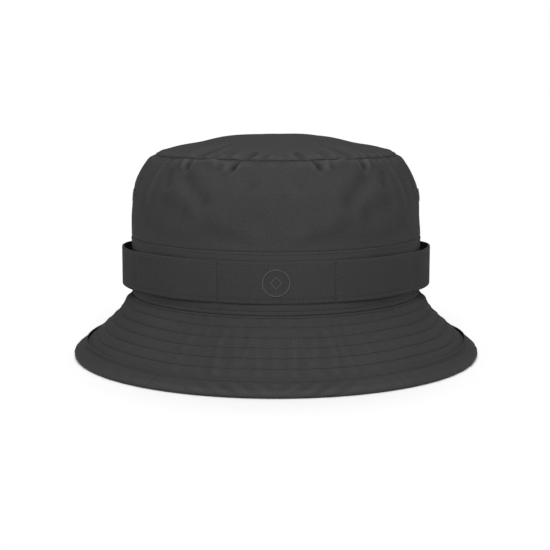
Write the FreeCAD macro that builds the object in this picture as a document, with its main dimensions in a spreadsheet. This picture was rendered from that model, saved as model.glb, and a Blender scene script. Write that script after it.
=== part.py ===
"""A soft bucket hat of ripstop cloth, modelled as the pieces that it is sewn from.

Frame: millimetres, +Z up, the front of the hat faces -Y, and the origin is the centre of the
plane that the brim's edge rests on. Every ring of the hat is an oval: its half length, front to
back, is its half width plus one constant, oval_extra.

A layer of cloth is a ring lofted through ovals that run up the outer side of an outline and
down its inner side. The brim is parted by two upright planes, in front of the crown and behind
it, into the ring that is sewn to the crown and the two segments that lift.
"""

import FreeCAD, Part

import math
import os

import Sketcher

Vector = FreeCAD.Vector
Rotation = FreeCAD.Rotation
Placement = FreeCAD.Placement

DIMENSIONS = [
    ("crown_half_width", 94.2, "outer half width of the crown at the brim seam"),
    ("oval_extra", 7.0, "half length of every oval less its half width"),
    ("hat_height", 142.6, "top of the crown above the resting plane"),
    ("brim_seam_height", 40.0, "seam between the crown and the brim"),
    ("waist_seam_height", 77.5, "seam between the crown's base band and its side"),
    ("tip_seam_height", 129.0, "seam between the crown's side and its tip"),
    ("tip_seam_inset", 15.5, "how far the wall has leaned in at the tip seam"),
    ("wall_height", 95.0, "height where the wall starts to lean in"),
    ("wall_inset", 0.9, "how far it has leaned in there"),
    ("breast_height", 103.0, "height of the wall's next point"),
    ("breast_inset", 1.6, "how far it has leaned in there"),
    ("shoulder_height", 111.0, "height where the shoulder starts"),
    ("shoulder_inset", 3.3, "how far the wall has leaned in there"),
    ("turn_height", 118.0, "height of the shoulder's round"),
    ("turn_inset", 6.4, "how far the wall has leaned in there"),
    ("upper_turn_height", 123.5, "height above the shoulder's round"),
    ("upper_turn_inset", 9.9, "how far the wall has leaned in there"),
    ("dome_centre", 120.0, "height of the centre of the ellipsoid that the tip lies on"),
    ("neck_reach", 1.6, "brim outline: reach beyond the crown at the neck"),
    ("neck_height", 35.0, "brim outline: height of the neck"),
    ("upper_reach", 6.9, "brim outline: reach of the upper point"),
    ("upper_height", 29.0, "brim outline: height of the upper point"),
    ("middle_reach", 15.0, "brim outline: reach of the middle point"),
    ("middle_height", 21.3, "brim outline: height of the middle point"),
    ("lower_reach", 26.0, "brim outline: reach of the lower point"),
    ("lower_height", 11.6, "brim outline: height of the lower point"),
    ("hem_reach", 35.0, "brim outline: reach where the hem turns down"),
    ("hem_height", 3.8, "brim outline: height where the hem turns down"),
    ("edge_reach", 36.8, "brim outline: reach of the edge"),
    ("cloth", 0.8, "thickness of the outer cloth"),
    ("lining", 0.5, "thickness of the lining"),
    ("lining_rise", 1.0, "lower edge of the lining above the brim seam"),
    ("sweatband", 1.2, "thickness of the sweatband"),
    ("sweatband_low", 40.5, "lower edge of the sweatband"),
    ("sweatband_high", 72.0, "upper edge of the sweatband"),
    ("ply_gap", 0.1, "space between two layers that lie on each other"),
    ("ply_across", 1.1, "a brim cloth measured level, across its slope"),
    ("stiffener_across", 1.3, "the brim's stiffener measured level"),
    ("binding_height", 9.6, "inner edge of the binding above the resting plane"),
    ("binding_fold", 1.2, "thickness of the binding under the brim's edge"),
    ("seam_step", 0.8, "how much lower each inner brim layer stops at the seam"),
    ("row_pitch", 7.2, "spacing of the brim's stitch rows down its slope"),
    ("thread", 0.4, "thickness of a row of thread"),
    ("thread_gap", 0.15, "space between a row of thread and a curved cloth"),
    ("thread_wide", 0.5, "height of a row of thread"),
    ("hem_row_drop", 2.8, "binding's thread row below the binding's inner edge"),
    ("seam_row_drop", 1.2, "brim's first thread row below the brim seam"),
    ("waist_row_drop", 1.5, "waist's thread row below the waist seam"),
    ("base_row_rise", 2.9, "base band's thread row above the brim seam"),
    ("tip_row_rise", 1.0, "tip's thread row above the tip seam"),
    ("band_row_margin", 1.7, "hatband's thread rows in from its edges"),
    ("hinge_reach", 1.4, "reach beyond the crown of the planes where the brim bends"),
    ("hinge_gap", 0.15, "half the gap at those planes"),
    ("band_low", 46.9, "lower edge of the hatband"),
    ("band_high", 72.0, "upper edge of the hatband"),
    ("band_thickness", 1.2, "the doubled cloth of the hatband"),
    ("band_gap", 0.15, "space between crown and hatband at a tack"),
    ("loop_sag", 5.5, "how far each side loop stands off the crown"),
    ("short_sag", 1.0, "how far the shorter loops stand off the crown"),
    ("tack_height", 17.0, "height of a tack seam"),
    ("band_thread_gap", 0.05, "space between the hatband and its thread"),
    ("tack_wide", 0.8, "width of a tack seam"),
    ("emblem_outer", 8.3, "outer radius of the embroidered ring"),
    ("emblem_inner", 7.2, "inner radius of the embroidered ring"),
    ("lozenge_half", 3.1, "half the side of the embroidered lozenge"),
    ("eyelet_height", 104.0, "height of the vent eyelets"),
    ("eyelet_from_side", 10.0, "degrees from the side seam to an eyelet"),
    ("eyelet_lean", 7.0, "degrees that the wall leans back at the eyelets"),
    ("eyelet_bore", 2.2, "inner radius of an eyelet"),
    ("eyelet_barrel", 2.7, "outer radius of an eyelet's barrel"),
    ("eyelet_flange", 4.2, "radius of an eyelet's flange"),
    ("eyelet_plate", 0.5, "thickness of the flange and of the washer"),
    ("eyelet_hole", 2.8, "radius of the hole in cloth and washer"),
    ("eyelet_stand", 0.2, "space between the flange and the curved wall"),
    ("label_wide", 26.0, "width of the care label"),
    ("label_tall", 30.0, "height of the care label"),
    ("label_top", 71.0, "upper, sewn edge of the care label"),
    ("label_thin", 0.4, "thickness of the labels"),
    ("label_back", 97.1, "distance from the axis of the hat to the label's back"),
    ("tab_wide", 12.0, "width and height of the size tab"),
    ("tab_offset", 24.0, "distance of the size tab beside the care label"),
]

TACKS = (21.0, 62.0, 118.0, 159.0)  # degrees round from the front, on either side
END_GAP = 0.3  # degrees between the hatband's front panel and its straps
ROW_END = 1.0  # degrees from the end of a hatband piece to the end of its thread rows
TACK_SHIFT = 0.5  # degrees from the end of a strap to its tack seam
BAND_STEP = 4.0  # degrees between the points of the hatband's curve
REACH = 200.0  # further out than any point of the hat
BRIM_ROWS = 5
DRILL_LENGTH = 12.0
EMBLEM_ROOM = 9.5  # above and below the middle of the hatband
OVERSHOOT = 5.0  # how far a cutting shape passes the cloth it cuts

doc = FreeCAD.newDocument("BucketHat")
sheet = doc.addObject("Spreadsheet::Sheet", "Dimensions")
pieces = []


def fill_sheet():
    """Writes each driving dimension as a number with an alias, and its meaning beside it."""
    for row, (alias, value, meaning) in enumerate(DIMENSIONS, start=1):
        sheet.set(f"A{row}", meaning)
        sheet.set(f"B{row}", str(value))
        sheet.setAlias(f"B{row}", alias)
    doc.recompute()


def cell(alias):
    """The expression that reads one dimension."""
    return f"Dimensions.{alias}"


def size(alias):
    """The value of one dimension."""
    return float(sheet.get(alias))


def size_of(expression):
    """The value of an expression over the sheet."""
    return float(doc.Dimensions.evalExpression(expression))


def bind(item, **expressions):
    """Binds properties of an object to expressions; a double underscore stands for a dot."""
    for name, expression in expressions.items():
        item.setExpression(name.replace("__", "."), expression)


def named(item, node):
    """Gives a sub-part its name and keeps it for writing."""
    item.Label = node
    pieces.append(item)
    return item


# ---------------------------------------------------------------- outlines and solids


def crown_outline():
    """The crown's wall, from the brim seam to the tip seam: half width and height of each oval."""
    width = cell("crown_half_width")
    points = [(width, cell("brim_seam_height")), (width, cell("waist_seam_height"))]
    for place in ("wall", "breast", "shoulder", "turn", "upper_turn"):
        points.append((f"{width} - {cell(place + '_inset')}", cell(place + "_height")))
    points.append((f"{width} - {cell('tip_seam_inset')}", cell("tip_seam_height")))
    return points


def brim_outline():
    """The upper face of the brim, from the resting plane in and up to the crown seam."""
    width = cell("crown_half_width")
    points = [(f"{width} + {cell('edge_reach')}", "0")]
    points.append((f"{width} + {cell('edge_reach')}", cell("binding_fold")))
    for place in ("hem", "lower", "middle", "upper", "neck"):
        points.append((f"{width} + {cell(place + '_reach')}", cell(place + "_height")))
    points.append((width, cell("brim_seam_height")))
    return points


def width_at(outline, height):
    """The expression for the half width of an outline at a height."""
    wanted = size_of(height)
    for (width, low), (next_width, high) in zip(outline, outline[1:]):
        if size_of(low) <= wanted <= size_of(high):
            share = f"(({height}) - ({low})) / (({high}) - ({low}))"
            return f"({width}) + (({next_width}) - ({width})) * {share}"
    raise ValueError(f"the outline doesn't reach {height}")


def stretch(outline, low, high):
    """The part of an outline between two heights, with a point at each."""
    inner = [p for p in outline if size_of(low) + 0.01 < size_of(p[1]) < size_of(high) - 0.01]
    return [(width_at(outline, low), low)] + inner + [(width_at(outline, high), high)]


def wall_point(angle, height, out=0.0):
    """A point of the crown's wall and the level direction out of it; 0 degrees is the front."""
    turn = math.radians(angle)
    width = size_of(width_at(crown_outline(), height)) + out
    length = width + size("oval_extra")
    point = Vector(width * math.sin(turn), -length * math.cos(turn), size_of(height))
    return point, Vector(math.sin(turn) / width, -math.cos(turn) / length, 0).normalize()


def oval(half_width, height):
    """One level oval edge, longer front to back."""
    ring = doc.addObject("Part::Ellipse", "oval")
    ring.Placement.Rotation = Rotation(Vector(0, 0, 1), 90)
    bind(
        ring,
        MajorRadius=f"{half_width} + {cell('oval_extra')}",
        MinorRadius=half_width,
        Placement__Base__z=f"({height}) * 1mm",
    )
    return ring


def lofted(name, sections, closed=False):
    """A solid through ovals; a closed one comes back to its first oval and is a ring."""
    solid = doc.addObject("Part::Loft", name)
    solid.Sections = sections
    solid.Solid = True
    solid.Ruled = True
    solid.Closed = closed
    return solid


def layer(outline, outer, inner, low, high):
    """The cloth between two insets of an outline, from one height to another."""
    points = stretch(outline, low, high)
    outside = [oval(f"{width} - ({outer})", height) for width, height in points]
    inside = [oval(f"{width} - ({inner})", height) for width, height in reversed(points)]
    return lofted("layer", outside + inside, closed=True)


def flat_footed_layer(outline, outer, inner, low, high):
    """The same as a layer, cut from two whole solids, so that its rims are plain flat faces."""
    points = stretch(outline, low, high)
    solids = []
    for inset in (outer, inner):
        ovals = [oval(f"{width} - ({inset})", height) for width, height in points]
        solids.append(lofted("block", ovals))
    return cut(*solids, "ring_block")


def cut(base, tool, name="cut"):
    """The first solid less the second."""
    item = doc.addObject("Part::Cut", name)
    item.Base = base
    item.Tool = tool
    return item


def common(base, tool, name="common"):
    """What two solids share."""
    item = doc.addObject("Part::Common", name)
    item.Base = base
    item.Tool = tool
    return item


def compound(parts, name):
    """Several solids as one object."""
    item = doc.addObject("Part::Compound", name)
    item.Links = parts
    return item


def mirrored(source, normal, name="mirrored"):
    """A mirror image through the origin."""
    item = doc.addObject("Part::Mirroring", name)
    item.Source = source
    item.Normal = normal
    return item


def upright_block(front, back, name):
    """A block as wide and tall as the whole hat, between two planes across Y."""
    box = doc.addObject("Part::Box", name)
    box.Length = box.Height = 2 * REACH
    box.Placement.Base = Vector(-REACH, 0, -REACH)
    bind(box, Width=f"({back}) - ({front})", Placement__Base__y=f"({front}) * 1mm")
    return box


def plane_of(body, role):
    """One of a body's own origin planes."""
    return next(f for f in body.Origin.OriginFeatures if f.Role == role)


def sketched_body(name, corners):
    """A body with a closed straight-sided sketch on its XZ plane, every corner bound."""
    body = doc.addObject("PartDesign::Body", name)
    sketch = body.newObject("Sketcher::SketchObject", name + "_profile")
    sketch.AttachmentSupport = [(plane_of(body, "XZ_Plane"), "")]
    sketch.MapMode = "FlatFace"
    points = [Vector(size_of(across), size_of(along), 0) for across, along in corners]
    count = len(points)
    for index, start in enumerate(points):
        sketch.addGeometry(Part.LineSegment(start, points[(index + 1) % count]), False)
    for index in range(count):
        join = Sketcher.Constraint("Coincident", index, 2, (index + 1) % count, 1)
        sketch.addConstraint(join)
    for index, (across, along) in enumerate(corners):
        for kind, axis, expression in (("DistanceX", -2, across), ("DistanceY", -1, along)):
            value = size_of(expression)
            if value == 0:
                sketch.addConstraint(Sketcher.Constraint("PointOnObject", index, 1, axis))
                continue
            distance = Sketcher.Constraint(kind, -1, 1, index, 1, value)
            number = sketch.addConstraint(distance)
            sketch.setExpression(f"Constraints[{number}]", expression)
    return body, sketch


# ---------------------------------------------------------------- the crown


def dome_solid(inset):
    """The upper half of the ellipsoid that the tip lies on, made smaller by the inset."""
    rise = f"(({cell('tip_seam_height')} - {cell('dome_centre')})"
    rise += f" / ({cell('hat_height')} - {cell('dome_centre')}))"
    spread = f"sqrt(1 - {rise} * {rise})"
    seam = f"{cell('crown_half_width')} - {cell('tip_seam_inset')}"
    dome = doc.addObject("Part::Ellipsoid", "dome")
    dome.Angle1 = 0
    dome.Angle2 = 90
    bind(
        dome,
        Radius1=f"{cell('hat_height')} - {cell('dome_centre')} - ({inset})",
        Radius2=f"({seam}) / {spread} - ({inset})",
        Radius3=f"({seam} + {cell('oval_extra')}) / {spread} - ({inset})",
        Placement__Base__z=f"{cell('dome_centre')} * 1mm",
    )
    return dome


def dome_layer(outer, inner, low, high):
    """The cloth of the tip between two insets and two heights."""
    slab = doc.addObject("Part::Box", "slab")
    slab.Length = slab.Width = 2 * REACH
    slab.Placement.Base = Vector(-REACH, -REACH, 0)
    bind(slab, Height=f"({high}) - ({low})", Placement__Base__z=f"({low}) * 1mm")
    return common(cut(dome_solid(outer), dome_solid(inner), "dome_shell"), slab, "dome_layer")


def build_crown():
    """Tip, side halves, base band, lining and sweatband."""
    cloth, gap = cell("cloth"), cell("ply_gap")
    seam, waist, top = (cell(f"{n}_seam_height") for n in ("brim", "waist", "tip"))
    outline = crown_outline()

    named(dome_layer("0", cloth, top, f"{top} + {REACH}"), "crown_tip")
    wall = layer(outline, "0", cloth, f"{waist} + {gap} / 2", f"{top} - {gap}")
    pierced_half(wall, "crown_side")
    base = layer(outline, "0", cloth, seam, f"{waist} - {gap} / 2")
    named(base, "crown_base_band")

    outer = f"{cloth} + {gap}"
    inner = f"{outer} + {cell('lining')}"
    named(dome_layer(outer, inner, f"{top} - {gap}", f"{top} + {REACH}"), "lining_tip")
    low = f"{seam} + {cell('lining_rise')}"
    side = layer(outline, outer, inner, low, f"{top} - 3 * {gap}")
    pierced_half(side, "lining_side")
    band = f"{inner} + {gap}"
    low, high = cell("sweatband_low"), cell("sweatband_high")
    named(layer(outline, band, f"{band} + {cell('sweatband')}", low, high), "sweatband")


def eyelet_placement():
    """Where the right eyelet of the front half sits, its own Z axis pointing out."""
    point, level = wall_point(90 - size("eyelet_from_side"), cell("eyelet_height"))
    lean = math.radians(size("eyelet_lean"))
    axis = level * math.cos(lean) + Vector(0, 0, math.sin(lean))
    return Placement(point, Rotation(Vector(0, 0, 1), axis))


def pierced_half(wall, node):
    """Names the front half of a wall, with its two eyelet holes, and its mirror image behind."""
    gap = cell("ply_gap")
    block = upright_block(f"0 - {REACH}", f"0 - {gap} / 2", "front_half")
    drill = doc.addObject("Part::Cylinder", "drill")
    bind(drill, Radius=cell("eyelet_hole"))
    drill.Height = DRILL_LENGTH
    inward = Placement(Vector(0, 0, -DRILL_LENGTH / 2), Rotation())
    drill.Placement = eyelet_placement() * inward
    drilled = cut(common(wall, block), drill, "pierced")
    front = named(cut(drilled, mirrored(drill, Vector(1, 0, 0)), "pierced"), node + "_front")
    named(mirrored(front, Vector(0, 1, 0)), node + "_back")


def turned_set(name, corners):
    """A small ring turned from its corners (radius, height), at each of the four eyelets."""
    body, sketch = sketched_body(name + "_form", corners)
    turn = body.newObject("PartDesign::Revolution", name + "_turn")
    turn.Profile = sketch
    turn.ReferenceAxis = (sketch, ["V_Axis"])
    turn.Angle = 360
    body.Placement = eyelet_placement()
    right = compound([body, mirrored(body, Vector(0, 1, 0))], "right_side")
    return compound([right, mirrored(right, Vector(1, 0, 0))], name + "_set")


def build_eyelets():
    """Four vent eyelets through crown and lining, each clenched on a washer inside."""
    bore, barrel, hole = cell("eyelet_bore"), cell("eyelet_barrel"), cell("eyelet_hole")
    flange, plate, stand = cell("eyelet_flange"), cell("eyelet_plate"), cell("eyelet_stand")
    inside = f"0 - ({cell('cloth')} + {cell('lining')} + {cell('ply_gap')} + 3 * {stand})"
    eyelet = [
        (bore, f"{inside} - {plate}"),
        (barrel, f"{inside} - {plate}"),
        (barrel, stand),
        (flange, stand),
        (f"{flange} - {plate} / 2", f"{stand} + {plate}"),
        (bore, f"{stand} + {plate}"),
    ]
    named(turned_set("eyelet", eyelet), "vent_eyelets")
    washer = [
        (hole, f"{inside} - {plate}"),
        (flange, f"{inside} - {plate}"),
        (flange, inside),
        (hole, inside),
    ]
    named(turned_set("washer", washer), "eyelet_washers")


def build_labels():
    """A care label that hangs from its sewn top edge, and a size tab sewn down beside it."""
    half, tall = f"{cell('label_wide')} / 2", f"0 - {cell('label_tall')}"
    corners = [(f"0 - {half}", tall), (half, tall), (half, "0"), (f"0 - {half}", "0")]
    body, sketch = sketched_body("label", corners)
    pad = body.newObject("PartDesign::Pad", "label_pad")
    pad.Profile = sketch
    bind(pad, Length=cell("label_thin"))
    body.Placement.Base = Vector(0, size("label_back"), size("label_top"))
    named(body, "care_label")

    outer = f"{cell('cloth')} + {cell('lining')} + {cell('sweatband')} + 3 * {cell('ply_gap')}"
    low = f"{cell('label_top')} - {cell('tab_wide')}"
    inner = f"{outer} + {cell('label_thin')}"
    ring = layer(crown_outline(), outer, inner, low, cell("label_top"))
    block = doc.addObject("Part::Box", "tab_block")
    block.Height = REACH
    block.Width = REACH
    bind(block, Length=cell("tab_wide"), Placement__Base__x=f"{cell('tab_offset')} * 1mm")
    named(common(ring, block), "size_tab")


# ---------------------------------------------------------------- the hatband


def stand_off(angle):
    """How far the hatband stands off the crown: nothing at a tack, most between two tacks."""
    around = abs((angle + 180) % 360 - 180)
    for start, end in zip(TACKS, TACKS[1:]):
        if start < around < end:
            sag = size("loop_sag") if start < 90 < end else size("short_sag")
            return sag * math.sin(math.pi * (around - start) / (end - start)) ** 2
    return 0.0


def band_edge(start, end, offset):
    """A curve along the hatband, at an offset out from its inner face, at height zero."""
    count = max(6, round((end - start) / BAND_STEP))
    points = []
    for index in range(count + 1):
        angle = start + (end - start) * index / count
        out = size("band_gap") + stand_off(angle) + offset
        point, _ = wall_point(angle, cell("band_low"), out)
        points.append(Vector(point.x, point.y, 0))
    curve = Part.BSplineCurve()
    curve.interpolate(points)
    return curve.toShape()


def band_wall(start, end, offset, thickness, low, high):
    """An upright strip that follows the hatband between two angles and two heights."""
    inner = band_edge(start, end, offset)
    outer = band_edge(start, end, offset + thickness)
    ends = [
        Part.makeLine(inner.Vertexes[i].Point, outer.Vertexes[i].Point) for i in (0, -1)
    ]
    wire = Part.Wire(Part.__sortEdges__([inner, ends[1], outer, ends[0]]))
    strip = Part.Face(wire).extrude(Vector(0, 0, high - low))
    strip.translate(Vector(0, 0, low))
    return strip


def solid_object(name, shape):
    """A shape made in code, as an object of the document."""
    item = doc.addObject("Part::Feature", name)
    item.Shape = shape
    return item


def build_hatband():
    """The band's four pieces, its tack seams, its edge stitching and the emblem."""
    low, high, thick = size("band_low"), size("band_high"), size("band_thickness")
    first, last = TACKS[0], TACKS[-1]
    front = solid_object("front", band_wall(-first, first, 0, thick, low, high))
    named(front, "hatband_front")
    rear = band_wall(last, 360 - last, 0, thick, low, high)
    named(solid_object("rear", rear), "hatband_back")
    span = (first + END_GAP, last - END_GAP)
    right = solid_object("right", band_wall(*span, 0, thick, low, high))
    named(right, "hatband_right")
    named(mirrored(right, Vector(1, 0, 0)), "hatband_left")

    gap, thread, wide = size("band_thread_gap"), size("thread"), size("thread_wide")
    margin = size("band_row_margin")
    rows = []
    for bottom in (low + margin, high - margin - wide):
        for start, end in ((-first, first), span, (last, 360 - last)):
            strip = band_wall(
                start + ROW_END, end - ROW_END, thick + gap, thread, bottom, bottom + wide
            )
            rows.append(strip)
            if start == span[0]:
                rows.append(strip.mirror(Vector(0, 0, 0), Vector(1, 0, 0)))
    named(solid_object("band_rows", Part.makeCompound(rows)), "hatband_stitching")

    middle = (low + high) / 2
    half = math.degrees(size("tack_wide") / 2 / size("crown_half_width"))
    tack_low = middle - size("tack_height") / 2
    tack_high = middle + size("tack_height") / 2
    tacks = []
    for angle in TACKS:
        place = min(max(angle, span[0] + TACK_SHIFT), span[1] - TACK_SHIFT)
        bar = band_wall(place - half, place + half, thick + gap, thread, tack_low, tack_high)
        tacks += [bar, bar.mirror(Vector(0, 0, 0), Vector(1, 0, 0))]
    named(solid_object("tack_bars", Part.makeCompound(tacks)), "hatband_tacks")
    build_emblem(middle)


def emblem_rod(radius, middle):
    """A rod along -Y through the middle of the hatband's front."""
    rod = doc.addObject("Part::Cylinder", "emblem_rod")
    rod.Placement = Placement(Vector(0, 0, middle), Rotation(Vector(1, 0, 0), 90))
    bind(rod, Radius=radius)
    rod.Height = REACH
    return rod


def build_emblem(middle):
    """A plain embroidered ring with a lozenge in it, raised on the hatband's front."""
    out = f"{cell('band_gap')} + {cell('band_thickness')} + {cell('ply_gap')}"
    low, high = f"{middle - EMBLEM_ROOM}", f"{middle + EMBLEM_ROOM}"
    raised = layer(crown_outline(), f"0 - ({out} + {cell('thread')})", f"0 - ({out})", low, high)
    tube = cut(
        emblem_rod(cell("emblem_outer"), middle), emblem_rod(cell("emblem_inner"), middle)
    )
    named(common(raised, tube), "emblem_ring")
    half = cell("lozenge_half")
    block = doc.addObject("Part::Box", "lozenge_block")
    bind(block, Length=f"2 * {half}", Width=f"{REACH}", Height=f"2 * {half}")
    eighth = Rotation(Vector(0, 1, 0), 45)
    corner = Vector(-size("lozenge_half"), -REACH, -size("lozenge_half"))
    block.Placement = Placement(Vector(0, 0, middle) + eighth.multVec(corner), eighth)
    named(common(raised, block), "emblem_lozenge")


# ---------------------------------------------------------------- the brim


def brim_zones():
    """The blocks that part the brim: the ring's own zone, and the one in front of it."""
    plane = f"({cell('crown_half_width')} + {cell('oval_extra')} + {cell('hinge_reach')})"
    gap = cell("hinge_gap")
    ring = upright_block(f"0 - {plane} + {gap}", f"{plane} - {gap}", "ring_zone")
    front = upright_block(f"0 - {REACH}", f"0 - {plane} - {gap}", "front_zone")
    return ring, front


def row_heights():
    """Heights of the brim's stitch rows, evenly spaced down the slope from the seam."""
    slope = [(size_of(width), size_of(height)) for width, height in reversed(brim_outline())]
    heights = []
    travelled, wanted = 0.0, size("row_pitch")
    for (wide, high), (wider, lower) in zip(slope, slope[1:]):
        run = math.hypot(wider - wide, high - lower)
        while wanted <= travelled + run and len(heights) < BRIM_ROWS:
            share = (wanted - travelled) / run
            heights.append(high + (lower - high) * share)
            wanted += size("row_pitch")
        travelled += run
    return heights


def thread_row(outline, out, low):
    """A thin ring of thread that stands off an outline, from a height up."""
    near = f"0 - ({out} + {cell('thread_gap')})"
    far = f"{near} - {cell('thread')}"
    return layer(outline, far, near, low, f"{low} + {cell('thread_wide')}")


def build_brim():
    """Upper cloth, stiffener, under cloth and binding, each parted where the brim bends."""
    outline = brim_outline()
    gap, ply = cell("ply_gap"), cell("ply_across")
    fold = f"{cell('binding_fold')} + {gap}"
    step = cell("seam_step")
    seam = f"{cell('brim_seam_height')} - {gap}"
    stiff = f"{ply} + {gap}"
    under = f"{stiff} + {cell('stiffener_across')} + {gap}"
    inside = f"{under} + {ply} + {gap}"
    outside = f"0 - {ply} - {gap}"

    rim = flat_footed_layer(outline, outside, f"{inside} + {ply}", "0", cell("binding_height"))
    filling_top = f"{cell('binding_height')} + {OVERSHOOT}"
    filling = layer(outline, f"0 - {gap}", inside, cell("binding_fold"), filling_top)
    rows = [thread_row(outline, "0", f"{height}") for height in row_heights()]
    hem_low = f"{cell('binding_height')} - {cell('hem_row_drop')}"

    layers = {
        "brim_top": layer(outline, "0", ply, fold, seam),
        "brim_stiffener": layer(
            outline, stiff, f"{stiff} + {cell('stiffener_across')}", fold, f"{seam} - {step}"
        ),
        "brim_under": layer(outline, under, f"{under} + {ply}", fold, f"{seam} - 2 * {step}"),
        "brim_binding": cut(rim, filling, "binding"),
        "binding_stitching": thread_row(outline, f"{ply} + {gap}", hem_low),
    }
    ring, front = brim_zones()
    for node, whole in layers.items():
        named(common(whole, ring), node)
        segment = named(common(whole, front), node + "_front")
        named(mirrored(segment, Vector(0, 1, 0)), node + "_back")
    seam_row = thread_row(outline, "0", f"{seam} - {cell('seam_row_drop')}")
    stitched = [common(row, ring) for row in rows]
    named(compound(stitched + [seam_row], "ring_rows"), "brim_stitching")
    stitched = named(compound([common(row, front) for row in rows], "rows"), "brim_stitching_front")
    named(mirrored(stitched, Vector(0, 1, 0)), "brim_stitching_back")


def build_crown_stitching():
    """Rows of thread by the tip seam, the waist seam and the brim seam."""
    outline = crown_outline()
    near, thread, wide = cell("thread_gap"), cell("thread"), cell("thread_wide")
    below_waist = f"{cell('waist_seam_height')} - {cell('waist_row_drop')}"
    named(thread_row(outline, "0", below_waist), "waist_stitching")
    above_seam = f"{cell('brim_seam_height')} + {cell('base_row_rise')}"
    named(thread_row(outline, "0", above_seam), "base_stitching")
    top = f"{cell('tip_seam_height')} + {cell('tip_row_rise')}"
    tip = dome_layer(f"0 - {near} - {thread}", f"0 - {near}", top, f"{top} + {wide}")
    named(tip, "tip_stitching")


# ---------------------------------------------------------------- checking and writing


def check():
    """Stops if an object failed, or a sub-part is empty, invalid or has no volume."""
    for item in doc.Objects:
        if {"Invalid", "Error"} & set(item.State):
            raise RuntimeError(f"{item.Name} ({item.Label}) is {item.State}")
    for item in pieces:
        shape = item.Shape
        if shape.isNull() or not shape.isValid() or not shape.Solids or shape.Volume <= 0:
            raise RuntimeError(f"{item.Label} has no sound solid")


def write():
    """Writes each sub-part to parts/NODE.step."""
    os.makedirs("parts", exist_ok=True)
    for item in pieces:
        item.Shape.exportStep(os.path.join("parts", item.Label + ".step"))
        count = len(item.Shape.Solids)
        print(f"{item.Label}: {count} solid(s), {item.Shape.Volume:.1f} mm3")


fill_sheet()
build_crown()
build_eyelets()
build_labels()
build_crown_stitching()
build_hatband()
build_brim()
doc.recompute()
check()
write()
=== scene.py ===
"""The looks of the bucket hat: every cloth piece as sewn cloth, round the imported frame.

Lengths are in metres. An angle goes round the hat, in radians, from the front (-Y) towards +X.
A surface is a function of an angle and of a distance up the cloth; it gives points in the row
frame. Each piece of cloth is a closed mesh between an outer and an inner grid of such points.
"""

import math

import bpy
import numpy as np
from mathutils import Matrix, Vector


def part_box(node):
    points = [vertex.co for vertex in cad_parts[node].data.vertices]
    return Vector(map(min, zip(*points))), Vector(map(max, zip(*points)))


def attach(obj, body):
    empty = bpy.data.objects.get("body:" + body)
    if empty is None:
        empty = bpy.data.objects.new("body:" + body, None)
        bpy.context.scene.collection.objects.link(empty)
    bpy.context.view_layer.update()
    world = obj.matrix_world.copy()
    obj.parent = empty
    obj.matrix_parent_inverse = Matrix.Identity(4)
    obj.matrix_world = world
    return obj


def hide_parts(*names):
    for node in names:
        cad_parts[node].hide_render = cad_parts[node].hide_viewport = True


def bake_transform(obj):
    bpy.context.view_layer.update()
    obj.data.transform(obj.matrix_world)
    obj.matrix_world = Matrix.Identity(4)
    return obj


MM = 0.001
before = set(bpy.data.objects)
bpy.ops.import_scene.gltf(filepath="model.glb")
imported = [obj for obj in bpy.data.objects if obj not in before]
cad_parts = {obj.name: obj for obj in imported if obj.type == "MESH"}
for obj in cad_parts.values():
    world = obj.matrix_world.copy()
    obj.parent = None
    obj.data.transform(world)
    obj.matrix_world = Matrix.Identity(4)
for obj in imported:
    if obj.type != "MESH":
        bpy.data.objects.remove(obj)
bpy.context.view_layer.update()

# ---------------------------------------------------------------- sizes, from the frame

base_low, base_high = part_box("crown_base_band")
tip_low, tip_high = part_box("crown_tip")
band_low, band_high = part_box("hatband_front")
HALF_WIDTH = base_high.x
OVAL_EXTRA = base_high.y - base_high.x
BRIM_SEAM = base_low.z
WAIST_SEAM = base_high.z
TIP_SEAM = tip_low.z
TIP_WIDTH = tip_high.x
TIP_RISE = tip_high.z - tip_low.z
BAND_LOW, BAND_HIGH = band_low.z, band_high.z
LABEL_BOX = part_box("care_label")
TAB_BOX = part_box("size_tab")

# The crown's wall as (lean inwards, height), and the brim's upper face and the binding's section
# as (reach beyond the crown, height), all in millimetres.
CROWN_LINE = (
    (0.0, 40.0), (0.0, 60.0), (0.0, 77.5), (0.9, 95.0), (1.6, 103.0),
    (3.3, 111.0), (6.4, 118.0), (9.9, 123.5), (15.5, 129.0),
)  # fmt: skip
BRIM_LINE = (
    (36.8, 1.3), (35.0, 3.8), (26.0, 11.6), (15.0, 21.3), (6.9, 29.0), (1.6, 35.0), (0.0, 40.0),
)  # fmt: skip
BINDING_LINE = (
    (24.2, 8.0), (27.1, 5.4), (29.4, 3.2), (30.9, 1.5), (32.4, 0.25), (34.4, 0.0),
    (36.9, 0.1), (38.0, 1.7), (37.4, 3.5), (35.6, 5.0), (32.4, 7.7), (29.45, 10.1),
)  # fmt: skip

CLOTH = 0.8 * MM
LINING = 0.5 * MM
BAND_CLOTH = 1.2 * MM
BINDING_CLOTH = 1.0 * MM
SWEATBAND_CLOTH = 1.2 * MM
LABEL_CLOTH, TAB_CLOTH = 0.35 * MM, 0.3 * MM
PLY_GAP = 0.1 * MM
STIFFENER = 1.0 * MM

# Where the hatband is tacked down on each side, in degrees from the front, how far it stands off
# between the tacks at the side and elsewhere, and how far its side loops droop, and where.
TACKS = (21.0, 62.0, 118.0, 159.0)
LOOP_SAG, SHORT_SAG = 5.5 * MM, 1.0 * MM
DROOP, DROOP_PLACES, DROOP_SPREAD = 1.9 * MM, (71, 109), 15
# How many degrees in from a strap's end the pinch, the tack's thread and the thread rows are.
PINCH_IN, TACK_IN, ROW_IN = 0.76, 0.7, 0.8

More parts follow.
